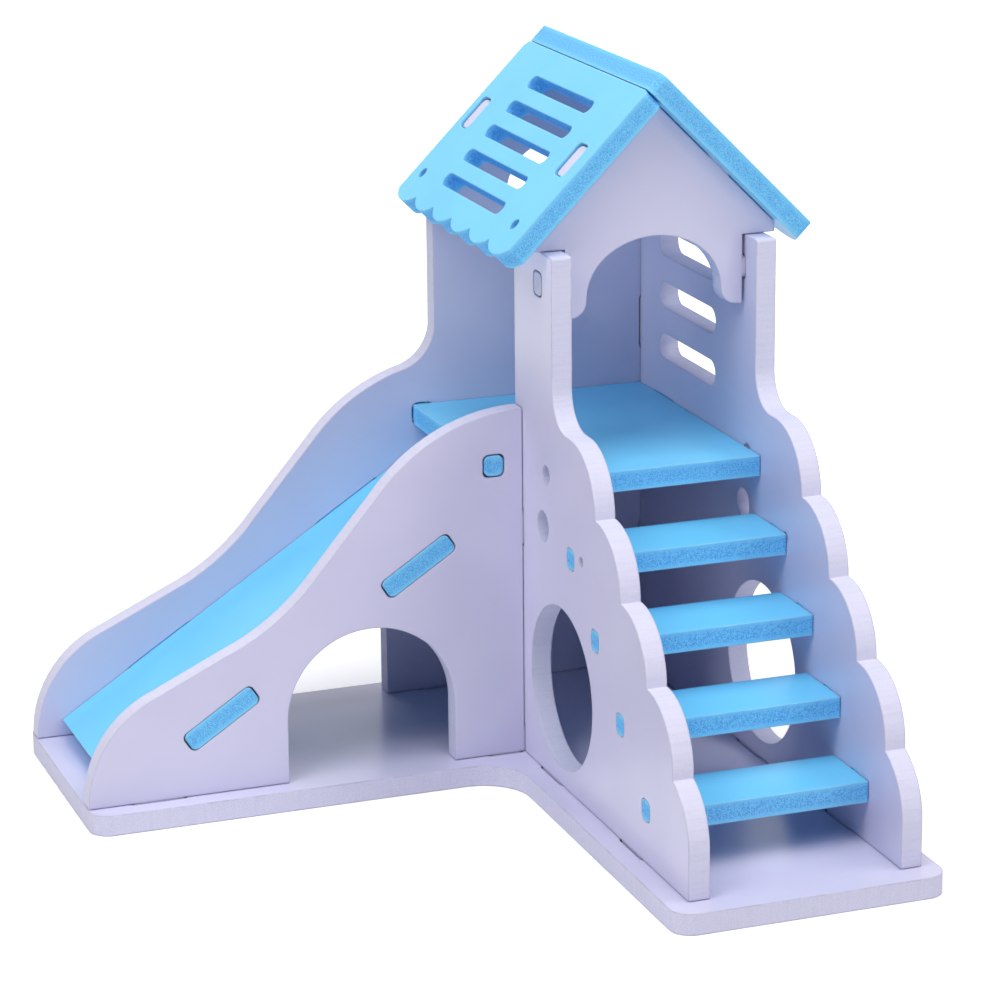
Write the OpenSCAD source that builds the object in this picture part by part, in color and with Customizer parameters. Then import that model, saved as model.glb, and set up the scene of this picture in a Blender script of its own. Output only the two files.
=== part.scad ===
// Flat-pack hamster house: a gabled tower on an L-shaped base plate, with a
// staircase in front of it and a slide beside it. Every piece is one flat board,
// and the boards hold each other with tabs in slots. Millimetres, +Z up, +Y to
// the back. The origin is under the middle of the whole house.

/* [Boards] */
// Thickness of every board
board_t = 5; // [4.6:0.1:5.6]
// Clearance on each side of a tab in its slot
fit_gap = 0.35; // [0.25:0.05:0.45]
// Clearance on each side of a tenon that is pressed into its slot
press_gap = 0.1; // [0.05:0.05:0.2]
// Gap where the end of one board stands against the face of another
joint_gap = 0.2; // [0.1:0.05:0.3]
// Radius in the corners of the slots, and on the corners of the tabs
slot_r = 1.5; // [1:0.1:1.8]
// Length of the long tabs
tab_l = 14; // [10:0.5:15]

/* [Base plate] */
// Lip of the base plate beside the slide and beside the staircase
base_lip = 5.2; // [4:0.2:8]
// Lip of the base plate in front of the staircase
base_stair_lip = 6.5; // [4:0.5:12]
// Lip of the base plate past the foot of the slide
base_foot_lip = 0.3; // [0:0.1:3]
// Radius of the outer corners of the base plate
base_corner_r = 5; // [3:0.5:8]
// Radius of the hollow inner corner of the base plate
base_inner_r = 12; // [6:0.5:15]

/* [Staircase] */
// Clear width between the stair panels
stair_w = 46; // [42:0.5:54]
// Rise from one tread to the next
step_rise = 15; // [14:0.5:16]
// Distance from the front of one tread to the front of the next
step_going = 15.25; // [14.5:0.25:16]
// Depth of a tread from front to back
tread_d = 18.2; // [17:0.2:20]
// Width of the tenon at each end of a tread
tread_tenon_w = 4.6; // [4:0.2:7]
// Reach of the stair panels in front of the slide wall
stair_reach = 101; // [98:0.5:108]
// Height of the stair panels above the tread beside them
stair_rim = 11; // [8:0.5:14]

/* [Tower] */
// Reach of the platform in front of the slide wall
front_reach = 23.2; // [21:0.2:26]
// Reach of the platform over the slide
platform_end = 9.8; // [8:0.2:12]
// Width of the tenons at the platform's slide end
platform_tenon_w = 4.8; // [4:0.2:6]
// Height of the posts above the platform
post_rise = 50.8; // [46:0.5:60]
// Reach of the posts in front of the slide wall
post_reach = 19.3; // [18:0.1:20.5]
// Radius in the corner between post and stair rim
post_fillet_r = 8.8; // [6:0.2:9]
// Radius of the front corner at the top of a post
post_top_r = 0.6; // [0.4:0.1:3]
// Overhang of the rear wall past the stair panels, and of the base plate behind it
wall_lip = 4; // [3:0.2:6]
// Radius of the round doors
door_r = 19.7; // [16:0.1:21]
// Height of the middle of the round doors above the base plate
door_z = 24.2; // [22:0.2:28]
// Distance of the middle of the round doors in front of the slide wall
door_y = 24.6; // [23:0.2:30]
// Length of a window slot
window_l = 35; // [20:0.5:38]
// Height of a window slot
window_h = 6.4; // [4:0.2:8]
// Spacing of the window slots
window_pitch = 13; // [11:0.5:14]
// Distance of the window slots behind the slide wall's front face
window_y = 4; // [2:0.5:8]
// Height of the middle of the lowest window slot above the platform
window_z = 12.9; // [10:0.2:15]
// Radius of the round window in the rear gable, whose middle is level with the post tops
rear_window_r = 12.7; // [8:0.1:14]

/* [Slide] */
// Clear width between the two walls of the slide
slide_w = 46.5; // [42:0.5:54]
// Reach of the slide walls beside the tower
slide_reach = 108; // [106:0.5:116]
// Slope of the slide in degrees
slide_tilt = 32.8; // [32:0.1:35]
// Length of a tenon on the slide board
slide_tenon_l = 19.5; // [14:0.5:22]
// Height of the slide walls above the platform
slide_rim = 10.8; // [8:0.2:14]
// Radius of the crest of the slide walls
crest_r = 46; // [43:0.5:50]
// Slope of the slide walls below the crest in degrees
steep_tilt = 49.5; // [47:0.5:51]
// Radius of the hollow in the slide walls
hollow_r = 55; // [40:1:70]
// Slope of the slide walls above the foot in degrees
gentle_tilt = 25; // [22:0.5:27]
// Radius of the round foot of the slide walls
foot_r = 27.7; // [25:0.1:30]
// Radius in the corner between the rear wall's tower edge and its crest
tower_fillet_r = 11.5; // [8:0.5:16]
// Half width of the arches under the slide
arch_r = 20.8; // [16:0.2:21]
// Height of the straight sides of the arches
arch_side_h = 15.2; // [10:0.2:16]
// Distance of the middle of the arches from the tower
arch_x = 38.6; // [36:0.2:42]

/* [Roof] */
// Slope of both roof panels in degrees
roof_tilt = 45; // [43:0.5:47]
// Height of the ridge's underside above the post tops
ridge_rise = 33.2; // [32:0.2:36]
// Length of a roof panel from the ridge to the tips of its lobes
roof_l = 51; // [48:0.5:56]
// Overhang of the roof in front of the front gable
roof_front_lip = 5; // [3:0.2:8]
// Overhang of the roof behind the rear wall
roof_rear_lip = 3; // [2:0.2:6]
// Depth of the scallops between the lobes
scallop_d = 2.6; // [1.6:0.1:3.4]
// Radius of the upper corners of a roof panel
roof_corner_r = 2; // [1:0.1:3]
// Clearance between a roof panel and what it rests on
seat_gap = 0.25; // [0.15:0.05:0.3]
// Length of a vent slot
vent_l = 40; // [30:0.5:44]
// Width of a vent slot
vent_w = 3.7; // [2:0.1:3.9]
// Spacing of the vent slots
vent_pitch = 7.8; // [7:0.1:8]
// Distance of the middle vent slot from the ridge
vent_s = 25.2; // [24.5:0.1:25.6]
// Distance of the roof tabs from the ridge
roof_tab_s = 18.3; // [16:0.1:20]
// Length of the roof tabs
roof_tab_l = 9; // [7:0.2:11]
// Depth of the ends of the roof tabs below the roof's top face
roof_tab_drop = 0.6; // [0.2:0.1:1.5]
// Length by which the right roof panel ends above the left one
right_roof_cut = 0.8; // [0:0.1:2]
// Distance of the small round holes from the ridge
pin_hole_s = 42.5; // [40:0.1:44]
// Radius of the small round holes
pin_hole_r = 1.5; // [1:0.1:2]

/* [Front gable] */
// Distance of the front gable behind the front edges of the posts
gable_set = 6.3; // [5.5:0.1:7.5]
// Clearance between the gable's legs and the posts
gable_gap = 0.8; // [0.3:0.1:1]
// Overhang of the gable's shoulders past the posts
shoulder_lip = 2.3; // [0:0.1:3]
// Width of a gable leg beside its post
gable_leg_w = 5.3; // [4.5:0.1:7]
// Length of a gable leg below the post tops
gable_leg_l = 16.2; // [14:0.2:18]
// Radius of the inner corner of a gable leg
gable_leg_r = 4; // [2:0.2:4.6]
// Height of the gable arch from its springing to its top
gable_arch_h = 13.6; // [11:0.2:15]
// Height of the top of the gable arch above the post tops
gable_arch_top = 1.7; // [1:0.1:4]
// Height of the side tabs of the gable
gable_tab_h = 5.4; // [4:0.2:7]
// Distance of the side tabs below the post tops
gable_tab_drop = 5; // [4:0.2:7]

/* [Hidden] */
$fn = 96;

WHITE = [0.86, 0.86, 0.95];
BLUE = [0.49, 0.83, 1];

// Numbers of treads below the platform, window slots, vent slots and roof lobes
step_count = 4;
window_count = 3;
vent_count = 5;
lobe_count = 6;
// Straight pieces round the elliptic gable arch
arch_steps = 48;
// Length by which a cut or a joined piece passes the face it leaves
overrun = board_t / 5;
// Distance by which a base tab stays above the underside of the base plate
tab_short = board_t / 25;
// Depth by which an arc crosses the line or the arc that it runs into, and by
// which a tab is thinner than its board on each side
touch = board_t / 100;

// Lengths of the side, corner and foot tabs, as shares of a long tab
short_tab_shares = [0.69, 0.66, 0.54];
// Middles of the tabs along the boards that carry them
slide_tab_share = 0.845;
stair_tab_shares = [0.178, 0.675];
room_tab_share = 0.5;
side_tab_share = 0.755;
panel_tab_shares = [0.25, 0.72];
platform_tab_share = 0.66;
// Middles of the slide board's tenons along the slide, and of a tread's along its depth
slide_tenon_shares = [0.245, 0.727];
tread_tenon_share = 0.42;
// Distance of the first lobe's middle behind the platform's nose, along a tread's depth
lobe_share = 0.43;
// Small round holes of the stair panels: distance in front of the slide wall,
// height and radius, as shares of stair_reach, platform_z and door_r
bubble_shares = [[0.151, 0.981, 0.117], [0.13, 0.808, 0.188], [0.371, 0.785, 0.063]];

// Faces of the boards in plan, from the left face of the left stair panel and
// the front face of the slide wall
right_in = board_t + stair_w;
right_out = right_in + board_t;
rear_in = board_t + slide_w;
rear_out = rear_in + board_t;
tower_mid = right_out / 2;
gable_y = gable_set - post_reach;

// Heights above the base plate
platform_z = (step_count + 1) * step_rise;
platform_under = platform_z - board_t;
post_h = platform_z + post_rise;
ridge_z = post_h + ridge_rise;
rim_z = platform_z + slide_rim;

// Edges of the base plate and of the roof
base_lo = [-slide_reach - base_foot_lip, -stair_reach - base_stair_lip];
base_hi = [right_out + wall_lip, rear_out + wall_lip];
roof_y0 = gable_y - roof_front_lip;
roof_y1 = rear_out + roof_rear_lip;

// Upper end of the left roof panel below the right one, upper end of the right
// panel over the left one, and how far the right eave reaches
left_roof_s = (seat_gap + max(0, board_t * cos(2 * roof_tilt))) / sin(2 * roof_tilt);
right_roof_s = -board_t;
eave_x = tower_mid + (roof_l - right_roof_cut) * cos(roof_tilt) + board_t * sin(roof_tilt);

// Middle of the whole house in plan
house_mid = [(base_lo[0] + max(base_hi[0], eave_x)) / 2, (base_lo[1] + max(base_hi[1], roof_y1)) / 2];

// Clearances of a slot along and across: loose ones, pressed ones, and the
// slide's, which are pressed across alone
LOOSE = [fit_gap, fit_gap];
PRESSED = [press_gap, press_gap];
PRESSED_ACROSS = [fit_gap, press_gap];

// Tabs
side_tab_l = short_tab_shares[0] * tab_l;
corner_tab_l = short_tab_shares[1] * tab_l;
foot_tab_h = short_tab_shares[2] * tab_l;
side_tab_z = side_tab_share * platform_z - side_tab_l / 2;
panel_tabs_z = [for (s = panel_tab_shares) s * post_h - tab_l / 2];
platform_tab_y = board_t + platform_tab_share * slide_w - tab_l / 2;
gable_tab_z = post_h - gable_tab_drop - gable_tab_h;

// Slide board: the point where its top face would meet the tower, the distance
// from there down to its foot, its length and the starts of its tenons
slide_top = [0, platform_under];
slide_foot_s = (platform_under - joint_gap - board_t * cos(slide_tilt)) / sin(slide_tilt);
slide_l = slide_foot_s - (board_t * sin(slide_tilt) + joint_gap) / cos(slide_tilt);
slide_tenons = [for (s = slide_tenon_shares) s * slide_foot_s - slide_tenon_l / 2];

// Top edge of the slide walls: middles of the crest and of the round foot, the
// ends of the steep and the gentle stretch, and the corner where both would meet
crest_mid = [0, rim_z - crest_r];
steep_end = crest_mid + (crest_r - touch) * [-sin(steep_tilt), cos(steep_tilt)];
foot_mid = [foot_r - slide_reach, 0];
gentle_end = foot_mid + (foot_r - touch) * [-sin(gentle_tilt), cos(gentle_tilt)];
hollow_x = (gentle_end[1] - steep_end[1] - gentle_end[0] * tan(gentle_tilt) + steep_end[0] * tan(steep_tilt))
    / (tan(steep_tilt) - tan(gentle_tilt));
hollow_corner = [hollow_x, steep_end[1] + (hollow_x - steep_end[0]) * tan(steep_tilt)];
// Length from that corner to where the hollow begins, its ends and its middle
hollow_reach = hollow_r * tan((steep_tilt - gentle_tilt) / 2);
hollow_start = hollow_corner + hollow_reach * [cos(steep_tilt), sin(steep_tilt)];
hollow_end = hollow_corner - hollow_reach * [cos(gentle_tilt), sin(gentle_tilt)];
hollow_mid = hollow_start + hollow_r * [-sin(steep_tilt), cos(steep_tilt)];

// Middle of the fillet between the rear wall's tower edge and its crest
tower_fillet_x = touch - wall_lip - tower_fillet_r;
tower_fillet_mid = crest_mid
    + [tower_fillet_x, sqrt(pow(crest_r + tower_fillet_r - touch, 2) - pow(tower_fillet_x, 2))];

// Middle of lobe k of a stair panel; the last one keeps to the panel's front edge
function lobe_mid(k) = [
    k < step_count ? -front_reach - lobe_share * tread_d - k * step_going : step_rise - stair_reach,
    platform_z + stair_rim - (k + 1) * step_rise
];

// Front edge of tread k, counted from the platform
function tread_y(k) = -front_reach - k * step_going;

// Start of the tenon of tread k
function tenon_y(k) = tread_y(k) + tread_tenon_share * tread_d - tread_tenon_w / 2;

// Underside of tread k
function tread_z(k) = platform_under - k * step_rise;

// Height of a gable's sloping edge at x, below the roof's seat
function gable_z(x) = ridge_z - seat_gap / cos(roof_tilt) - abs(x - tower_mid) * tan(roof_tilt);

// Sloping edges of a gable from x1 back to x0
function gable_edge(x0, x1) = [for (x = [x1, tower_mid, x0]) [x, gable_z(x)]];

// Base tab of a wall in plan, with its front face at y
function wall_foot(x, l, y) = [[x - l / 2, y], [x + l / 2, y + board_t]];

// Two base tabs of a slide wall in plan
function slide_feet(y) = [
    wall_foot(-slide_tab_share * slide_reach, tab_l, y),
    wall_foot(-corner_tab_l / 2 - joint_gap, corner_tab_l, y)
];

// Base tabs of the rear wall in plan
function rear_feet() = concat(slide_feet(rear_in), [wall_foot(tower_mid, tab_l, rear_in)]);

// Base tabs in plan of the stair panel whose left face is at x
function panel_feet(x) =
    [for (y = concat([for (s = stair_tab_shares) -s * stair_reach], [room_tab_share * rear_in]))
        [[x, y - tab_l / 2], [x + board_t, y + tab_l / 2]]];

// Moves what is drawn from the tower's corner to the part's own frame
module in_frame() {
    translate([-house_mid[0], -house_mid[1], board_t]) children();
}

// Stands a drawing of x and z up as a board whose front face is at y
module wall_board(y, t = board_t) {
    in_frame() translate([0, y + t, 0]) rotate([90, 0, 0]) linear_extrude(t) children();
}

// Stands a drawing of y and z up as a board whose left face is at x
module side_board(x, t = board_t) {
    in_frame() translate([x, 0, 0]) rotate([90, 0, 90]) linear_extrude(t) children();
}

// Lays a drawing of x and y down as a board whose underside is at z
module floor_board(z, t = board_t) {
    in_frame() translate([0, 0, z]) linear_extrude(t) children();
}

// Draws in the frame of a roof slope: x down from the ridge, y along the house
// and z out of the roof; side is -1 for the left slope and 1 for the right one
module on_roof(side) {
    in_frame() translate([tower_mid, 0, ridge_z]) mirror([(1 - side) / 2, 0, 0])
        rotate([0, roof_tilt, 0]) children();
}

// Rectangle between two corners
module box2(lo, hi) {
    translate(lo) square(hi - lo);
}

// Rectangle between two corners, with round corners
module round_box2(lo, hi, r) {
    box2([lo[0] + r, lo[1]], [hi[0] - r, hi[1]]);
    box2([lo[0], lo[1] + r], [hi[0], hi[1] - r]);
    for (x = [lo[0] + r, hi[0] - r])
        for (y = [lo[1] + r, hi[1] - r])
            translate([x, y]) circle(r);
}

// Slot round a tab that lies between two corners
module slot2(lo, hi, gap = LOOSE) {
    round_box2(lo - gap, hi + gap, slot_r);
}

// Tab in a slot, drawn along its length
module tab2(lo, hi) {
    round_box2(lo + [touch, touch], hi - [touch, touch], slot_r);
}

// Slot with round ends between two corners
module stadium2(lo, hi) {
    r = (hi[1] - lo[1]) / 2;
    box2([lo[0] + r, lo[1]], [hi[0] - r, hi[1]]);
    for (x = [lo[0] + r, hi[0] - r])
        translate([x, lo[1] + r]) circle(r);
}

// Piece that fills the angle left of and above a point up to a hollow of radius r
module fillet2(p, r) {
    difference() {
        box2(p - [r, overrun], p + [overrun, r]);
        translate(p + [-r, r]) circle(r);
    }
}

// Base tabs below a board, from their places in plan
module foot_tabs(feet) {
    floor_board(tab_short - board_t, board_t - tab_short + joint_gap + overrun)
        for (f = feet)
            tab2(f[0], f[1]);
}

// Tabs of a gable through both roof panels, with the gable's front face at y
module roof_tabs(y) {
    for (side = [-1, 1])
        on_roof(side) translate([0, 0, -seat_gap - overrun])
            linear_extrude(overrun + seat_gap + board_t - roof_tab_drop)
                tab2([roof_tab_s, y], [roof_tab_s + roof_tab_l, y + board_t]);
}

// L-shaped plate with a slot for every base tab
module base_plate() {
    color(WHITE) floor_board(-board_t) difference() {
        union() {
            round_box2([base_lo[0], -base_lip], base_hi, base_corner_r);
            round_box2([-base_lip, base_lo[1]], base_hi, base_corner_r);
            mirror([0, 1]) fillet2([-base_lip, base_lip], base_inner_r);
        }
        for (f = concat(slide_feet(0), rear_feet(), panel_feet(0), panel_feet(right_in)))
            slot2(f[0], f[1]);
    }
}

// Slide wall's outline from its round foot up to the tower face at x
module slide_outline(x) {
    difference() {
        union() {
            polygon([[x, joint_gap], [x, crest_mid[1]], steep_end, hollow_start, hollow_end,
                gentle_end, [foot_mid[0], joint_gap]]);
            intersection() {
                translate(crest_mid) circle(crest_r);
                box2([-crest_r, crest_mid[1]], [x, rim_z + overrun]);
            }
            intersection() {
                translate(foot_mid) circle(foot_r);
                box2([-slide_reach - overrun, joint_gap], [foot_mid[0], foot_r + overrun]);
            }
        }
        translate(hollow_mid) circle(hollow_r + touch);
    }
}

// Draws in the slide board's own frame: x up the slope from its foot, y square to it
module on_slide() {
    translate(slide_top - slide_foot_s * [cos(slide_tilt), sin(slide_tilt)]) rotate(slide_tilt) children();
}

// Arch and slots that both slide walls share
module slide_cuts() {
    box2([-arch_x - arch_r, -overrun], [arch_r - arch_x, arch_side_h]);
    translate([-arch_x, arch_side_h]) circle(arch_r);
    on_slide()
        for (s = slide_tenons)
            slot2([s, -board_t], [s + slide_tenon_l, 0], PRESSED_ACROSS);
    slot2([-platform_end, platform_under], [platform_tenon_w - platform_end, platform_z]);
}

// Front wall of the slide, with tabs into the left stair panel
module slide_wall() {
    color(WHITE) {
        wall_board(0) difference() {
            slide_outline(-joint_gap);
            slide_cuts();
        }
        foot_tabs(slide_feet(0));
        side_board(-joint_gap - overrun, overrun + joint_gap + board_t) {
            tab2([0, side_tab_z], [board_t, side_tab_z + side_tab_l]);
            intersection() {
                tab2([0, -foot_tab_h], [board_t, foot_tab_h]);
                box2([0, joint_gap], [board_t, foot_tab_h]);
            }
        }
    }
}

// Back of the tower and rear wall of the slide in one board
module rear_wall() {
    color(WHITE) {
        wall_board(rear_in) difference() {
            union() {
                slide_outline(0);
                polygon(concat([[base_hi[0], joint_gap]], gable_edge(-wall_lip, base_hi[0]),
                    [[-wall_lip, joint_gap]]));
                // Corner between the tower edge and the crest, with its fillet
                difference() {
                    polygon([crest_mid, [0, tower_fillet_mid[1]], tower_fillet_mid]);
                    translate(tower_fillet_mid) circle(tower_fillet_r);
                }
            }
            slide_cuts();
            translate([tower_mid, post_h]) circle(rear_window_r);
            for (z = panel_tabs_z)
                slot2([right_in, z], [right_out, z + tab_l]);
            slot2([0, panel_tabs_z[0]], [board_t, panel_tabs_z[0] + tab_l]);
        }
        foot_tabs(rear_feet());
        roof_tabs(rear_in);
    }
}

// Tab at height z of the stair panel whose left face is at x, into the rear wall
module rear_tab(x, z) {
    wall_board(rear_in - joint_gap - overrun, overrun + joint_gap + board_t)
        tab2([x, z], [x + board_t, z + tab_l]);
}

// Scalloped side of the staircase with its post
module stair_outline() {
    rim = lobe_mid(0)[1] + step_rise;
    intersection() {
        union()
            for (k = [0 : step_count])
                translate(lobe_mid(k)) circle(step_rise);
        box2([-stair_reach, joint_gap], [0, rim]);
    }
    for (k = [0 : step_count])
        box2([lobe_mid(k)[0], joint_gap], [0, lobe_mid(k)[1] + step_rise]);
    box2([-stair_reach, joint_gap], [0, lobe_mid(step_count)[1]]);
    fillet2([-post_reach, rim], post_fillet_r);
    // Post with its round front corner
    box2([-post_reach, joint_gap], [board_t, post_h - post_top_r]);
    box2([post_top_r - post_reach, joint_gap], [board_t, post_h]);
    translate([post_top_r - post_reach, post_h - post_top_r]) circle(post_top_r);
}

// Door, small holes and slots that both stair panels share
module stair_cuts() {
    for (k = [1 : step_count])
        slot2([tenon_y(k), tread_z(k)], [tenon_y(k) + tread_tenon_w, tread_z(k) + board_t], PRESSED);
    translate([-door_y, door_z]) circle(door_r);
    for (b = bubble_shares)
        translate([-b[0] * stair_reach, b[1] * platform_z]) circle(b[2] * door_r);
    slot2([gable_y, gable_tab_z], [gable_y + board_t, gable_tab_z + gable_tab_h]);
}

// Left side of the staircase, running on below the platform as a room wall
module left_stair_panel() {
    color(WHITE) {
        side_board(0) difference() {
            union() {
                stair_outline();
                box2([0, joint_gap], [rear_in - joint_gap, platform_under - joint_gap]);
            }
            stair_cuts();
            slot2([0, side_tab_z], [board_t, side_tab_z + side_tab_l]);
            slot2([0, -foot_tab_h], [board_t, foot_tab_h]);
        }
        foot_tabs(panel_feet(0));
        rear_tab(0, panel_tabs_z[0]);
    }
}

// Right side of the staircase and of the tower in one board
module right_stair_panel() {
    color(WHITE) {
        side_board(right_in) difference() {
            union() {
                stair_outline();
                box2([0, joint_gap], [rear_in - joint_gap, post_h]);
            }
            stair_cuts();
            for (i = [0 : window_count - 1])
                let (z = platform_z + window_z + i * window_pitch)
                stadium2([window_y, z - window_h / 2], [window_y + window_l, z + window_h / 2]);
            slot2([platform_tab_y, platform_under], [platform_tab_y + tab_l, platform_z], PRESSED);
        }
        foot_tabs(panel_feet(right_in));
        for (z = panel_tabs_z)
            rear_tab(right_in, z);
    }
}

// Top step, floor of the tower room and doorway to the slide in one board
module platform() {
    color(BLUE) {
        floor_board(platform_under) {
            box2([board_t + joint_gap, -front_reach], [right_in - joint_gap, rear_in - joint_gap]);
            box2([-platform_end, board_t + joint_gap], [right_in - joint_gap, rear_in - joint_gap]);
        }
        wall_board(0, rear_out)
            tab2([-platform_end, platform_under], [platform_tenon_w - platform_end, platform_z]);
        side_board(right_in - board_t, 2 * board_t)
            tab2([platform_tab_y, platform_under], [platform_tab_y + tab_l, platform_z]);
    }
}

// Tread k, counted from the platform, with a tenon in each stair panel
module tread(k) {
    color(BLUE) {
        floor_board(tread_z(k))
            box2([board_t + joint_gap, tread_y(k)], [right_in - joint_gap, tread_y(k) + tread_d]);
        side_board(0, right_out)
            tab2([tenon_y(k), tread_z(k)], [tenon_y(k) + tread_tenon_w, tread_z(k) + board_t]);
    }
}

module step_1() { tread(1); }
module step_2() { tread(2); }
module step_3() { tread(3); }
module step_4() { tread(4); }

// Sloping board with two tenons in each slide wall
module slide_board() {
    color(BLUE) {
        wall_board(board_t + joint_gap, slide_w - 2 * joint_gap) on_slide()
            box2([0, -board_t], [slide_l, 0]);
        wall_board(0, rear_out) on_slide()
            for (s = slide_tenons)
                tab2([s, -board_t], [s + slide_tenon_l, 0]);
    }
}

// Gable between the posts, with shoulders over them and an arch below
module front_gable() {
    leg_x = board_t + gable_gap;
    leg_z = post_h - gable_leg_l;
    inner_x = leg_x + gable_leg_w;
    arch_half = tower_mid - inner_x;
    spring_z = post_h + gable_arch_top - gable_arch_h;
    shoulder_z = post_h + seat_gap;
    color(WHITE) {
        wall_board(gable_y) difference() {
            polygon(concat(
                [[right_out - leg_x, leg_z], [right_out - leg_x, shoulder_z],
                    [right_out + shoulder_lip, shoulder_z]],
                gable_edge(-shoulder_lip, right_out + shoulder_lip),
                [[-shoulder_lip, shoulder_z], [leg_x, shoulder_z], [leg_x, leg_z]]));
            // Arch between the legs
            translate([tower_mid, spring_z]) polygon(
                [for (i = [0 : arch_steps])
                    let (a = 180 * i / arch_steps)
                    [arch_half * cos(a), gable_arch_h * sin(a)]]);
            box2([inner_x, leg_z - overrun], [right_out - inner_x, spring_z]);
            // Round inner corners of the legs
            for (side = [0, 1])
                translate([tower_mid, leg_z]) mirror([side, 0]) fillet2([-arch_half, 0], gable_leg_r);
        }
        // Tabs into both posts
        for (x = [0, right_out - leg_x - overrun])
            side_board(x, leg_x + overrun)
                tab2([gable_y, gable_tab_z], [gable_y + board_t, gable_tab_z + gable_tab_h]);
        roof_tabs(gable_y);
    }
}

// Roof panel in the frame of its own slope: x down from the ridge, y along the
// house, with its upper end at start and the tips of its lobes at end
module roof_panel(start, end) {
    pitch = (roof_y1 - roof_y0) / lobe_count;
    lobe_r = (pow(pitch / 2, 2) + pow(scallop_d, 2)) / (2 * scallop_d);
    eave_s = end - scallop_d;
    vent_mid = (roof_y0 + roof_y1) / 2;
    linear_extrude(board_t) difference() {
        union() {
            round_box2([start, roof_y0], [eave_s - overrun, roof_y1], roof_corner_r);
            intersection() {
                union()
                    for (i = [0 : lobe_count - 1])
                        translate([end - lobe_r, roof_y0 + (i + 1 / 2) * pitch]) circle(lobe_r);
                box2([eave_s - lobe_r, roof_y0], [end + overrun, roof_y1]);
            }
        }
        for (y = [gable_y, rear_in]) {
            slot2([roof_tab_s, y], [roof_tab_s + roof_tab_l, y + board_t]);
            translate([pin_hole_s, y + board_t / 2]) circle(pin_hole_r);
        }
        for (i = [0 : vent_count - 1])
            translate([vent_s + (i - (vent_count - 1) / 2) * vent_pitch, vent_mid]) rotate(90)
                stadium2([-vent_l / 2, -vent_w / 2], [vent_l / 2, vent_w / 2]);
    }
}

// Left roof panel, ending under the right one
module left_roof_panel() {
    color(BLUE) on_roof(-1) roof_panel(left_roof_s, roof_l);
}

// Right roof panel, lapping over the end of the left one
module right_roof_panel() {
    color(BLUE) on_roof(1) roof_panel(right_roof_s, roof_l - right_roof_cut);
}

base_plate();
rear_wall();
slide_wall();
left_stair_panel();
right_stair_panel();
front_gable();
left_roof_panel();
right_roof_panel();
platform();
slide_board();
step_1();
step_2();
step_3();
step_4();
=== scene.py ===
"""Looks of a flat-pack hamster house: finishes of its boards, the studio and the photograph's camera.

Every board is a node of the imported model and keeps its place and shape. This script gives each board the
finish of its stock, with softened rims, and sets up the floor, the lamps and the camera.
"""
import logging
from dataclasses import dataclass, field, replace
from enum import Enum
from math import cos, radians, sin
from typing import Any

import bpy
import numpy as np
from mathutils import Matrix, Vector

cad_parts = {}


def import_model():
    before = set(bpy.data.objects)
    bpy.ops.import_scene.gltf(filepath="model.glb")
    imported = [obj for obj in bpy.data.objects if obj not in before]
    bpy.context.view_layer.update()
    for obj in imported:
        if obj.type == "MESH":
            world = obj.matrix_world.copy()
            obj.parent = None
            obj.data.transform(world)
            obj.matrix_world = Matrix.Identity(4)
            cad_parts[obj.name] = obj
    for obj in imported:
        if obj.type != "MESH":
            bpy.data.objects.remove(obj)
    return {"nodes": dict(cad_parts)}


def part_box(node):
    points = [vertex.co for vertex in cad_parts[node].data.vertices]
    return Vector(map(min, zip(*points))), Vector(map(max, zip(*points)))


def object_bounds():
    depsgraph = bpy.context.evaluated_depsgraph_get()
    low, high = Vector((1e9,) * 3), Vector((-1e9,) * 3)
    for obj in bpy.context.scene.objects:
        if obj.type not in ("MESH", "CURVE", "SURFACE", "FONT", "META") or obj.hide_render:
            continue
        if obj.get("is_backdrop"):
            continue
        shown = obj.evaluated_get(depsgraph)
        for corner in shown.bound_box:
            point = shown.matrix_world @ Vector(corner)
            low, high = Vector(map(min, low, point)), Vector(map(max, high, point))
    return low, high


LOG = logging.getLogger("hamster_house")
MM = 0.001

# Finer layers of a noise: one for round dots, two for ripples and three for ragged clouds
DOTS = 1.0
RIPPLES = 2.0
CLOUDS = 3.0


def linear(hex_colour: str) -> tuple[float, float, float, float]:
    """Turns an sRGB colour into the linear colour that a shader takes.

    Args:
        hex_colour: Colour as "#RRGGBB".

    Returns:
        Linear red, green and blue, and an alpha of 1.
    """
    shares = np.array([int(hex_colour[i:i + 2], 16) for i in (1, 3, 5)]) / 255
    values = np.where(shares <= 0.04045, shares / 12.92, ((shares + 0.055) / 1.055) ** 2.4)
    return (float(values[0]), float(values[1]), float(values[2]), 1.0)


def add_node(tree: bpy.types.NodeTree, kind: str, inputs: dict[int | str, Any] | None = None,
             **settings: Any) -> bpy.types.Node:
    """Adds a node to a tree, with its settings and its inputs.

    Args:
        tree: Tree that gets the node.
        kind: Blender's name of the node type.
        inputs: For each input by name or number, the socket that feeds it or its fixed value.
        settings: Properties of the node itself.

    Returns:
        The new node.
    """
    node = tree.nodes.new(kind)
    for name, value in settings.items():
        setattr(node, name, value)
    for key, value in (inputs or {}).items():
        if isinstance(value, bpy.types.NodeSocket):
            tree.links.new(value, node.inputs[key])
        else:
            node.inputs[key].default_value = value
    return node


class Lie(Enum):
    """How a board stands in the house, as the turn in degrees that lays it flat."""

    FLOOR = (0.0, 0.0, 0.0)
    WALL = (90.0, 0.0, 0.0)
    SIDE = (0.0, -90.0, 0.0)
    LEFT_ROOF = (0.0, 45.0, 0.0)
    RIGHT_ROOF = (0.0, -45.0, 0.0)
    SLIDE = (0.0, 32.8, 0.0)

    def turn(self) -> tuple[float, float, float]:
        """Returns the turn in radians."""
        return tuple(radians(angle) for angle in self.value)


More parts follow.
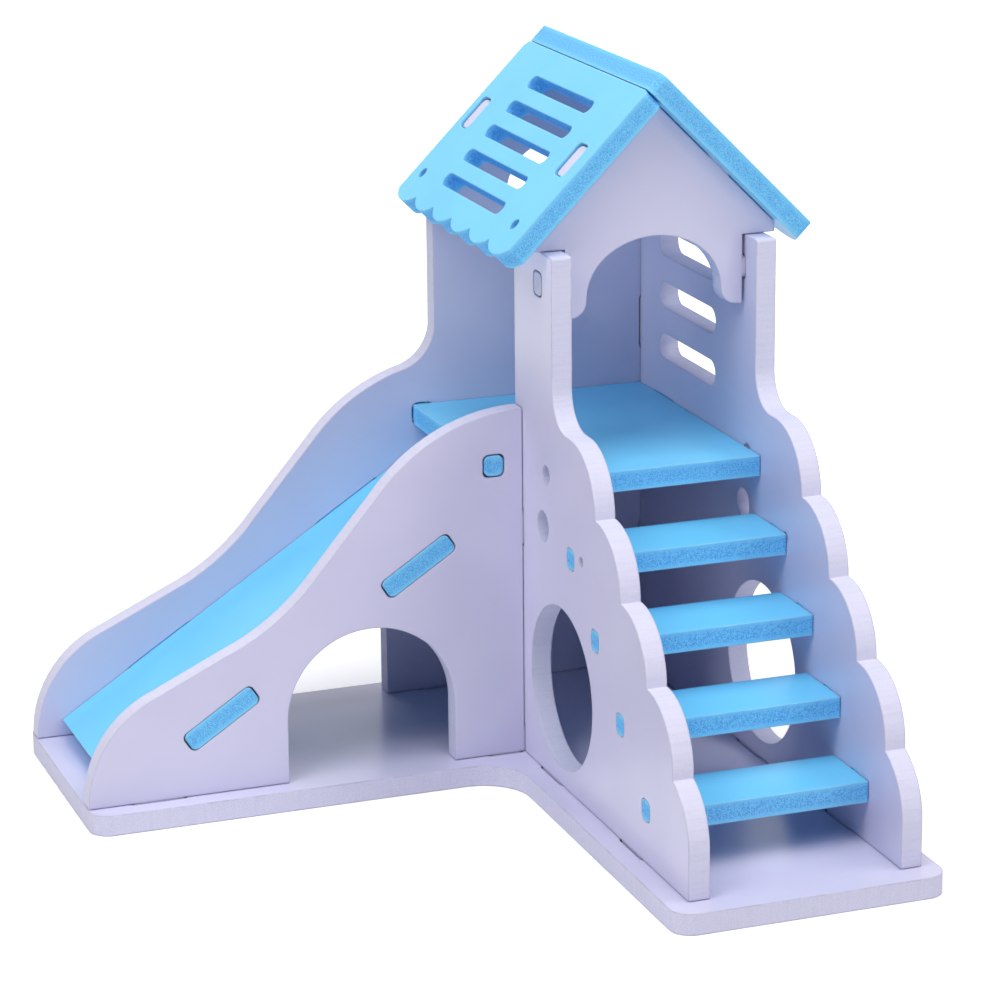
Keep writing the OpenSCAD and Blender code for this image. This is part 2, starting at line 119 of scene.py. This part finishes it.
@dataclass(frozen=True)
class BoardFinish:
    """Finish of a foamed board: smooth skins on both faces and sawn edges that show the core.

    The skins are satin and throw a soft, blurred reflection. The saw leaves fine ripples across the
    thickness, and opens the pores of the core, which is coarse in the middle and dense by the skins.
    A pair of levels says where a pattern's mark begins and where it is full.
    """

    name: str
    # Colours of skin and its darker clouds, sawn edge and ripples, pores, and rims: wear, and a painted
    # highlight where paler
    face: str
    face_low: str
    edge: str
    ripple: str
    pore: str
    worn_and_highlight: str
    # How much of the pores is lost by the skins, and how strongly each mark colours the board
    pore_depth_share: float
    pore_colour_share: float
    ripple_colour_share: float
    worn_and_highlight_share: float
    face_roughness: float
    edge_roughness: float = 0.72
    # Cast plastics and lacquers lie near this IOR
    ior: float = 1.47
    # Cloudy tone of the skin
    mottle_mm: float = 24.0
    mottle_levels: tuple[float, float] = (0.35, 0.7)
    # Orange peel of the skin; the real one is near 0.3 mm, too fine to show, so it is drawn coarser
    peel_mm: float = 1.1
    peel_height_mm: float = 0.0016
    # Steps of the cutter, deeper in patches where it chattered
    ripple_mm: float = 0.95
    ripple_height_mm: float = 0.03
    ripple_levels: tuple[float, float] = (0.42, 0.7)
    chatter: float = 6.0
    # Squeeze across the board that draws the ripples out from face to face
    ripple_squeeze: float = 0.06
    # Pores; the real ones are 0.1 to 0.3 mm, so they are drawn a little coarser
    pore_mm: float = 0.3
    pore_height_mm: float = 0.05
    pore_levels: tuple[float, float] = (0.36, 0.68)
    # Depths from the middle of the board, as shares of its thickness, between which the pores close
    core_shares: tuple[float, float] = (0.2, 0.44)
    # Knocks on the rims, and the patches of chatter
    worn_mm: float = 5.0
    knock_levels: tuple[float, float] = (0.47, 0.6)
    # Wear of the rims between the knocks, and any painted highlight there, as a share of that in them
    rim_wear_and_highlight: float = 0.1
    # Round that cutting and sanding leave on every rim
    rim_mm: float = 0.3
    rim_samples: int = 6
    rim_levels: tuple[float, float] = (0.02, 0.2)
    # How squarely a surface faces across the board where the sawn edge ends and the skin begins
    skin_levels: tuple[float, float] = (0.6, 0.9)

    def material(self, board: str, lie: Lie, middle: Vector, thickness: float) -> bpy.types.Material:
        """Makes the finish for one board.

        Args:
            board: Name of the board.
            lie: How the board stands.
            middle: Middle of the board, in metres.
            thickness: Thickness of the board, in metres.

        Returns:
            The board's material.
        """
        made = bpy.data.materials.new(f"{self.name}_{board}")
        made.use_nodes = True
        tree = made.node_tree
        tree.nodes.clear()
        place = self.place_on_board(tree, lie, middle)
        eased = add_node(tree, "ShaderNodeBevel", {"Radius": self.rim_mm * MM},
                         samples=self.rim_samples).outputs[0]
        skin, rim = self.skin_and_rim(tree, lie, eased)
        core = self.core(tree, place, thickness)
        ripple = self.noise(tree, self.along_edge(tree, place), self.ripple_mm, RIPPLES)
        pore = self.threshold(tree, self.noise(tree, place, self.pore_mm, DOTS), self.pore_levels)
        mottle = self.noise(tree, place, self.mottle_mm, CLOUDS)
        peel = self.noise(tree, place, self.peel_mm, DOTS)
        knock = self.threshold(tree, self.noise(tree, place, self.worn_mm, CLOUDS), self.knock_levels)
        open_pore = self.product(tree, pore, core)
        colour = self.colour(tree, skin, rim, ripple, open_pore, mottle, knock)
        height = self.relief(tree, skin, ripple, open_pore, peel, knock)
        roughness = self.blend_value(tree, skin, self.edge_roughness, self.face_roughness)
        bump = add_node(tree, "ShaderNodeBump", {"Height": height, "Strength": 1.0, "Distance": 1.0,
                                                 "Normal": eased})
        shader = add_node(tree, "ShaderNodeBsdfPrincipled", {
            "Base Color": colour, "Roughness": roughness, "IOR": self.ior, "Normal": bump.outputs[0]})
        add_node(tree, "ShaderNodeOutputMaterial", {"Surface": shader.outputs[0]})
        return made

    def place_on_board(self, tree: bpy.types.NodeTree, lie: Lie, middle: Vector) -> bpy.types.NodeSocket:
        """Gives a point's place on the board laid flat, with its middle at zero and z across it.

        Args:
            tree: Material's tree.
            lie: How the board stands.
            middle: Middle of the board, in metres.

        Returns:
            Socket of the place in metres.
        """
        at = add_node(tree, "ShaderNodeTexCoord")
        centred = add_node(tree, "ShaderNodeMapping", {"Vector": at.outputs["Object"], "Location": -middle})
        laid = add_node(tree, "ShaderNodeMapping", {"Vector": centred.outputs[0], "Rotation": lie.turn()})
        return laid.outputs[0]

    def skin_and_rim(self, tree: bpy.types.NodeTree, lie: Lie,
                     eased: bpy.types.NodeSocket) -> tuple[bpy.types.NodeSocket, ...]:
        """Tells the skins, the sawn edges and the rounded rims apart by which way the surface faces.

        Args:
            tree: Material's tree.
            lie: How the board stands.
            eased: Which way the surface faces, with its rims rounded.

        Returns:
            Socket that is 1 on the skins and 0 on the edges, and one that is 1 on the rims only.
        """
        own = add_node(tree, "ShaderNodeVectorTransform", {"Vector": eased}, vector_type="NORMAL",
                       convert_from="WORLD", convert_to="OBJECT")
        laid = add_node(tree, "ShaderNodeMapping", {"Vector": own.outputs[0], "Rotation": lie.turn()},
                        vector_type="VECTOR")
        parts = add_node(tree, "ShaderNodeSeparateXYZ", {0: laid.outputs[0]})
        facing = add_node(tree, "ShaderNodeMath", {0: parts.outputs["Z"]}, operation="ABSOLUTE").outputs[0]
        skin = self.threshold(tree, facing, self.skin_levels)
        # A rim faces neither way, so the product of both shares is largest there
        away = add_node(tree, "ShaderNodeMath", {0: 1.0, 1: facing}, operation="SUBTRACT").outputs[0]
        rim = self.threshold(tree, self.product(tree, facing, away), self.rim_levels)
        return skin, rim

    def core(self, tree: bpy.types.NodeTree, place: bpy.types.NodeSocket,
             thickness: float) -> bpy.types.NodeSocket:
        """Gives the share of open pores, which falls from the middle of the thickness to the skins.

        Args:
            tree: Material's tree.
            place: Place on the board laid flat.
            thickness: Thickness of the board, in metres.

        Returns:
            Socket from 0 to 1.
        """
        parts = add_node(tree, "ShaderNodeSeparateXYZ", {0: place})
        depth = add_node(tree, "ShaderNodeMath", {0: parts.outputs["Z"]}, operation="ABSOLUTE").outputs[0]
        start, end = self.core_shares
        limits = {"Value": depth, "From Min": start * thickness, "From Max": end * thickness,
                  "To Min": 1.0, "To Max": 1 - self.pore_depth_share}
        return add_node(tree, "ShaderNodeMapRange", limits, interpolation_type="SMOOTHSTEP").outputs[0]

    def along_edge(self, tree: bpy.types.NodeTree, place: bpy.types.NodeSocket) -> bpy.types.NodeSocket:
        """Squeezes the place across the board, so that a pattern on it runs from face to face."""
        scale = (1.0, 1.0, self.ripple_squeeze)
        squeezed = add_node(tree, "ShaderNodeMapping", {"Vector": place, "Scale": scale})
        return squeezed.outputs[0]

    def noise(self, tree: bpy.types.NodeTree, place: bpy.types.NodeSocket, size_mm: float,
              detail: float) -> bpy.types.NodeSocket:
        """Gives a noise whose clouds have a real size.

        Args:
            tree: Material's tree.
            place: Place in metres.
            size_mm: Size of a cloud, in millimetres.
            detail: Number of finer layers.

        Returns:
            Socket from 0 to 1.
        """
        inputs = {"Vector": place, "Scale": 1 / (size_mm * MM), "Detail": detail}
        return add_node(tree, "ShaderNodeTexNoise", inputs).outputs[0]

    def threshold(self, tree: bpy.types.NodeTree, value: bpy.types.NodeSocket,
                  levels: tuple[float, float]) -> bpy.types.NodeSocket:
        """Gives 0 below one level, 1 above another and a smooth rise between them.

        Args:
            tree: Material's tree.
            value: Socket of the value.
            levels: Level below which the result is 0, and level above which it is 1.

        Returns:
            Socket from 0 to 1.
        """
        limits = {"Value": value, "From Min": levels[0], "From Max": levels[1]}
        return add_node(tree, "ShaderNodeMapRange", limits, interpolation_type="SMOOTHSTEP").outputs[0]

    def product(self, tree: bpy.types.NodeTree, one: Any, other: Any) -> bpy.types.NodeSocket:
        """Multiplies two sockets, or a socket and a number."""
        return add_node(tree, "ShaderNodeMath", {0: one, 1: other}, operation="MULTIPLY").outputs[0]

    def blend_value(self, tree: bpy.types.NodeTree, share: bpy.types.NodeSocket, low: float,
                    high: float) -> bpy.types.NodeSocket:
        """Goes from one number to another as a share goes from 0 to 1."""
        limits = {"Value": share, "To Min": low, "To Max": high}
        return add_node(tree, "ShaderNodeMapRange", limits).outputs[0]

    def blend(self, tree: bpy.types.NodeTree, share: Any, low: Any, high: Any) -> bpy.types.NodeSocket:
        """Mixes two colours.

        Args:
            tree: Material's tree.
            share: Share of the second colour.
            low: First colour, as a socket or a hex value.
            high: Second colour, as a socket or a hex value.

        Returns:
            Socket of the mixed colour.
        """
        first = linear(low) if isinstance(low, str) else low
        second = linear(high) if isinstance(high, str) else high
        mixed = add_node(tree, "ShaderNodeMix", {0: share, 6: first, 7: second}, data_type="RGBA")
        return mixed.outputs[2]

    def colour(self, tree: bpy.types.NodeTree, skin: bpy.types.NodeSocket, rim: bpy.types.NodeSocket,
               ripple: bpy.types.NodeSocket, open_pore: bpy.types.NodeSocket,
               mottle: bpy.types.NodeSocket, knock: bpy.types.NodeSocket) -> bpy.types.NodeSocket:
        """Lays the colours of skin, sawn edge, pores and worn rims, with their painted highlight, over each
        other.

        Args:
            tree: Material's tree.
            skin: 1 on the skins, 0 on the edges.
            rim: 1 on the rims.
            ripple: Ripples of the cutter.
            open_pore: Pores of the core.
            mottle: Clouds of the skin.
            knock: Patches where the rims are worn.

        Returns:
            Socket of the colour.
        """
        grooves = self.threshold(tree, ripple, self.ripple_levels)
        ripple_mark = self.product(tree, grooves, self.ripple_colour_share)
        sawn = self.blend(tree, ripple_mark, self.edge, self.ripple)
        sawn = self.blend(tree, self.product(tree, open_pore, self.pore_colour_share), sawn, self.pore)
        clouds = self.threshold(tree, mottle, self.mottle_levels)
        faces = self.blend(tree, clouds, self.face, self.face_low)
        whole = self.blend(tree, skin, sawn, faces)
        # On the blue board the pale rim colour, laid thinly along every rim, is partly torn skin and partly
        # a painted highlight
        worn_and_highlight = self.blend_value(tree, knock, self.rim_wear_and_highlight, 1.0)
        wear_and_highlight = self.product(tree, self.product(tree, rim, worn_and_highlight), self.worn_and_highlight_share)
        return self.blend(tree, wear_and_highlight, whole, self.worn_and_highlight)

    def relief(self, tree: bpy.types.NodeTree, skin: bpy.types.NodeSocket, ripple: bpy.types.NodeSocket,
               open_pore: bpy.types.NodeSocket, peel: bpy.types.NodeSocket,
               knock: bpy.types.NodeSocket) -> bpy.types.NodeSocket:
        """Adds up the heights of ripples, pores and orange peel, each where it belongs.

        Args:
            tree: Material's tree.
            skin: 1 on the skins, 0 on the edges.
            ripple: Ripples of the cutter.
            open_pore: Pores of the core.
            peel: Orange peel of the skin.
            knock: Patches where the cutter chattered.

        Returns:
            Socket of the height in metres.
        """
        shallow = self.ripple_height_mm * MM
        depth = self.blend_value(tree, knock, shallow, self.chatter * shallow)
        waves = self.product(tree, ripple, depth)
        pits = self.product(tree, open_pore, -self.pore_height_mm * MM)
        sawn = add_node(tree, "ShaderNodeMath", {0: waves, 1: pits}, operation="ADD").outputs[0]
        off_skin = self.blend_value(tree, skin, 1.0, 0.0)
        on_edge = self.product(tree, sawn, off_skin)
        on_skin = self.product(tree, self.product(tree, peel, self.peel_height_mm * MM), skin)
        return add_node(tree, "ShaderNodeMath", {0: on_edge, 1: on_skin}, operation="ADD").outputs[0]


# Foamed PVC board lacquered white: cool white with a violet cast, finely rippled where it was cut
WHITE_LACQUERED_BOARD = BoardFinish(
    name="foamed_board_white_lacquered", face="#D6D4EE", face_low="#D2D0EB", edge="#DCDBF2",
    ripple="#CDCBE6", pore="#C6C4DE", worn_and_highlight="#BDBACB", pore_depth_share=0.3, pore_colour_share=0.16,
    ripple_colour_share=0.25, worn_and_highlight_share=0.35, face_roughness=0.3, ripple_height_mm=0.022,
    pore_height_mm=0.01, rim_mm=0.6)

# The same board for the base plate: its edges are grainier and more scuffed, and its skins shinier
WHITE_ROUGH_CUT_BOARD = replace(
    WHITE_LACQUERED_BOARD, name="foamed_board_white_rough_cut", pore="#B4B2CA", pore_depth_share=0.1,
    pore_colour_share=0.3, pore_height_mm=0.016, ripple_colour_share=0.2, ripple_height_mm=0.008,
    worn_and_highlight="#ACAABA", worn_and_highlight_share=0.5, face_roughness=0.22)

# Foamed PVC board dyed sky blue in the mass: smooth bright skins, darker spongy edges; pale rims, partly
# torn skin, partly painted highlight
BLUE_FOAMED_BOARD = BoardFinish(
    name="foamed_board_blue_pressed", face="#77D5FE", face_low="#72D1FC", edge="#7BD2FF",
    ripple="#6EC5FC", pore="#4599E6", worn_and_highlight="#B4E8FE", pore_depth_share=0.85, pore_colour_share=0.82,
    ripple_colour_share=0.35, worn_and_highlight_share=0.9, rim_wear_and_highlight=0.6, rim_mm=0.45, face_roughness=0.36,
    ripple_height_mm=0.012, pore_height_mm=0.04)


@dataclass
class BoardSet:
    """Boards that make up one sub-assembly of the house.

    Attributes:
        thickness: Thickness of the boards, in metres.
        finish: Finish of each board by name.
        lies: How each board stands, by name.
    """

    thickness: float
    finish: dict[str, BoardFinish] = field(default_factory=dict)
    lies: dict[str, Lie] = field(default_factory=dict)

    def dress(self, nodes: dict[str, bpy.types.Object]) -> None:
        """Gives every board its material and reports it.

        Args:
            nodes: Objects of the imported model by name.
        """
        for name, lie in self.lies.items():
            low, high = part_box(name)
            made = self.finish[name].material(name, lie, (low + high) / 2, self.thickness)
            materials = nodes[name].data.materials
            if len(materials) == 0:
                materials.append(made)
            for i in range(len(materials)):
                materials[i] = made
            size = [round(v / MM, 1) for v in high - low]
            LOG.info("%s: %s, %s mm", name, made.name, size)


@dataclass
class GroundBoards(BoardSet):
    """Base plate that carries the house."""

    def __post_init__(self) -> None:
        """Names the boards."""
        self.lies = {"base_plate": Lie.FLOOR}
        self.finish = {"base_plate": WHITE_ROUGH_CUT_BOARD}


@dataclass
class Tower(BoardSet):
    """Walls, gable and floor of the tower."""

    def __post_init__(self) -> None:
        """Names the boards."""
        self.lies = {"rear_wall": Lie.WALL, "front_gable": Lie.WALL, "platform": Lie.FLOOR}
        self.finish = {name: WHITE_LACQUERED_BOARD for name in self.lies}
        self.finish["platform"] = BLUE_FOAMED_BOARD


@dataclass
class Staircase(BoardSet):
    """Two scalloped panels and the treads between them."""

    tread_count: int = 4

    def __post_init__(self) -> None:
        """Names the boards."""
        panels = {"left_stair_panel": Lie.SIDE, "right_stair_panel": Lie.SIDE}
        treads = {f"step_{k}": Lie.FLOOR for k in range(1, self.tread_count + 1)}
        self.lies = panels | treads
        self.finish = {name: WHITE_LACQUERED_BOARD for name in panels}
        self.finish |= {name: BLUE_FOAMED_BOARD for name in treads}


@dataclass
class Slide(BoardSet):
    """Front wall of the slide and its sloping board."""

    def __post_init__(self) -> None:
        """Names the boards."""
        self.lies = {"slide_wall": Lie.WALL, "slide_board": Lie.SLIDE}
        self.finish = {"slide_wall": WHITE_LACQUERED_BOARD, "slide_board": BLUE_FOAMED_BOARD}


@dataclass
class Roof(BoardSet):
    """Two roof panels, each on its own body."""

    def __post_init__(self) -> None:
        """Names the boards."""
        self.lies = {"left_roof_panel": Lie.LEFT_ROOF, "right_roof_panel": Lie.RIGHT_ROOF}
        self.finish = {name: BLUE_FOAMED_BOARD for name in self.lies}


@dataclass(frozen=True)
class SoftBox:
    """Square studio lamp that is aimed at the house.

    Attributes:
        name: Name of the lamp.
        azimuth: Way to the lamp in degrees, 0 in front of the house and growing to its right.
        elevation: Height of the lamp in degrees.
        watts: Power of the lamp.
        distance: Distance from the house, in metres.
        side: Side of the lamp, in metres.
    """

    name: str
    azimuth: float
    elevation: float
    watts: float
    distance: float = 1.2
    side: float = 0.6

    def place(self, target: Vector) -> None:
        """Puts the lamp in the scene.

        Args:
            target: Point that the lamp faces.
        """
        turn = radians(self.azimuth)
        rise = radians(self.elevation)
        way = Vector((sin(turn) * cos(rise), -cos(turn) * cos(rise), sin(rise)))
        light = bpy.data.lights.new(self.name, "AREA")
        light.size = self.side
        light.energy = self.watts
        lamp = bpy.data.objects.new(self.name, light)
        lamp.location = target + self.distance * way
        lamp.rotation_euler = way.to_track_quat("Z", "Y").to_euler()
        bpy.context.scene.collection.objects.link(lamp)
        LOG.info("lamp %s: %.1f W", self.name, self.watts)


@dataclass(frozen=True)
class Studio:
    """White floor, white surroundings and soft boxes."""

    floor_side: float = 8.0
    floor_points: int = 3
    # The floor keeps this far below the base plate, so that the two faces don't fight
    floor_drop: float = 0.1 * MM
    floor_colour: str = "#F2F2F5"
    # What the camera sees of the floor is lifted to white, less so round the house to keep its shadow:
    # the glow grows from the near to the far strength between two distances from the house, in metres
    camera_floor_colour: str = "#F6F6FA"
    near_glow: float = 0.32
    far_glow: float = 1.0
    near_reach: float = 0.16
    far_reach: float = 0.75
    # All light on the house comes from the soft boxes and the floor
    sky_light: float = 0.0
    lamps: tuple[SoftBox, ...] = (
        SoftBox("left_box", azimuth=-60, elevation=50, watts=5.5),
        SoftBox("front_box", azimuth=0, elevation=55, watts=2.8),
        SoftBox("right_box", azimuth=60, elevation=50, watts=4.5),
        SoftBox("rear_box", azimuth=180, elevation=50, watts=3.1),
        SoftBox("top_box", azimuth=0, elevation=88, watts=3.5, distance=1.0),
        SoftBox("low_front_box", azimuth=30, elevation=12, watts=1.3, side=0.5),
        SoftBox("low_left_box", azimuth=-85, elevation=10, watts=1.8, side=0.5),
    )

    def build(self, target: Vector) -> None:
        """Makes the floor, the surroundings and the lamps.

        Args:
            target: Point that the lamps face.
        """
        self.build_floor()
        self.build_surroundings()
        for lamp in self.lamps:
            lamp.place(target)

    def build_floor(self) -> None:
        """Makes the floor: a square grid of points, x and y from minus to plus half the side."""
        count = self.floor_points
        steps = np.linspace(-self.floor_side / 2, self.floor_side / 2, count)
        across, along = np.meshgrid(steps, steps)
        points = np.stack([across, along, np.full_like(across, -self.floor_drop)], axis=-1).reshape(-1, 3)
        rows = np.arange(count - 1)
        corner = (rows[:, None] * count + rows).reshape(-1, 1)
        faces = corner + np.array([0, 1, count + 1, count])
        mesh = bpy.data.meshes.new("studio_floor")
        mesh.from_pydata(points.tolist(), [], faces.tolist())
        floor = bpy.data.objects.new("studio_floor", mesh)
        bpy.context.scene.collection.objects.link(floor)
        mesh.materials.append(self.floor_material())
        floor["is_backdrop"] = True
        LOG.info("studio_floor: %.0f m square", self.floor_side)

    def floor_material(self) -> bpy.types.Material:
        """Makes the floor's matt paper, which the camera sees lifted to white.

        Returns:
            The floor's material.
        """
        made = bpy.data.materials.new("matt_white_paper")
        made.use_nodes = True
        tree = made.node_tree
        tree.nodes.clear()
        path = add_node(tree, "ShaderNodeLightPath")
        seen = add_node(tree, "ShaderNodeMath", {0: path.outputs["Is Camera Ray"],
                                                 1: path.outputs["Is Glossy Ray"]}, operation="MAXIMUM")
        paper = add_node(tree, "ShaderNodeBsdfDiffuse", {"Color": linear(self.floor_colour)})
        seen_paper = add_node(tree, "ShaderNodeBsdfDiffuse", {"Color": linear(self.camera_floor_colour)})
        at = add_node(tree, "ShaderNodeTexCoord")
        reach = add_node(tree, "ShaderNodeVectorMath", {0: at.outputs["Object"]}, operation="LENGTH")
        strength = add_node(tree, "ShaderNodeMapRange", {
            "Value": reach.outputs["Value"], "From Min": self.near_reach, "From Max": self.far_reach,
            "To Min": self.near_glow, "To Max": self.far_glow})
        glow = add_node(tree, "ShaderNodeEmission", {"Strength": strength.outputs[0]})
        lifted = add_node(tree, "ShaderNodeAddShader", {0: seen_paper.outputs[0], 1: glow.outputs[0]})
        mixed = add_node(tree, "ShaderNodeMixShader", {0: seen.outputs[0], 1: paper.outputs[0],
                                                       2: lifted.outputs[0]})
        add_node(tree, "ShaderNodeOutputMaterial", {"Surface": mixed.outputs[0]})
        return made

    def build_surroundings(self) -> None:
        """Makes the white surroundings: full white to the camera, a softer light on the house."""
        world = bpy.data.worlds.new("white_studio")
        world.use_nodes = True
        tree = world.node_tree
        tree.nodes.clear()
        path = add_node(tree, "ShaderNodeLightPath")
        seen = add_node(tree, "ShaderNodeMath", {0: path.outputs["Is Camera Ray"],
                                                 1: path.outputs["Is Transmission Ray"]},
                        operation="MAXIMUM")
        shine = add_node(tree, "ShaderNodeMath", {0: seen.outputs[0], 1: path.outputs["Is Glossy Ray"]},
                         operation="MAXIMUM")
        strength = add_node(tree, "ShaderNodeMapRange", {"Value": shine.outputs[0],
                                                         "To Min": self.sky_light, "To Max": 1.0})
        sky = add_node(tree, "ShaderNodeBackground", {"Color": (1.0, 1.0, 1.0, 1.0),
                                                      "Strength": strength.outputs[0]})
        add_node(tree, "ShaderNodeOutputWorld", {"Surface": sky.outputs[0]})
        bpy.context.scene.world = world


@dataclass(frozen=True)
class PhotoCamera:
    """Camera of the photograph, solved from the corners of the boards.

    Attributes:
        place: Place of the camera, in metres.
        azimuth: Turn about the vertical, in degrees.
        elevation: Height above the horizon, in degrees.
        roll: Turn about the line of sight, in degrees.
        focal_px: Focal length in pixels of the photograph.
        photo_width_px: Width of the photograph in pixels.
        sensor_mm: Width of the camera's sensor.
    """

    place: tuple[float, float, float] = (-0.267171, -0.751392, 0.312718)
    azimuth: float = -19.994
    elevation: float = 16.468
    roll: float = -0.536
    focal_px: float = 3639.0
    photo_width_px: int = 1000
    sensor_mm: float = 36.0

    def build(self) -> None:
        """Puts the camera in the scene and makes it the scene's camera."""
        turn = radians(self.azimuth)
        rise = radians(self.elevation)
        lean = radians(self.roll)
        back = Vector((sin(turn) * cos(rise), -cos(turn) * cos(rise), sin(rise)))
        level_right = Vector((cos(turn), sin(turn), 0.0))
        level_up = back.cross(level_right)
        right = cos(lean) * level_right + sin(lean) * level_up
        up = cos(lean) * level_up - sin(lean) * level_right
        lens = bpy.data.cameras.new("photo_camera")
        lens.sensor_width = self.sensor_mm
        lens.lens = self.focal_px / self.photo_width_px * self.sensor_mm
        camera = bpy.data.objects.new("photo_camera", lens)
        facing = Matrix((right, up, back)).transposed().to_4x4()
        camera.matrix_world = Matrix.Translation(self.place) @ facing
        bpy.context.scene.collection.objects.link(camera)
        bpy.context.scene.camera = camera
        LOG.info("photo_camera: %.1f mm lens", lens.lens)


def main() -> None:
    """Dresses the house and sets up the studio."""
    logging.basicConfig(level=logging.INFO, format="%(message)s")
    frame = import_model()
    packed_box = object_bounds()
    nodes = frame["nodes"]
    low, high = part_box("base_plate")
    thickness = high.z - low.z
    for boards in (GroundBoards(thickness), Tower(thickness), Staircase(thickness), Slide(thickness),
                   Roof(thickness)):
        boards.dress(nodes)
    target = (packed_box[0] + packed_box[1]) / 2
    Studio().build(target)
    PhotoCamera().build()
    bpy.context.scene.view_settings.view_transform = "Standard"


if __name__ == "__main__":
    main()
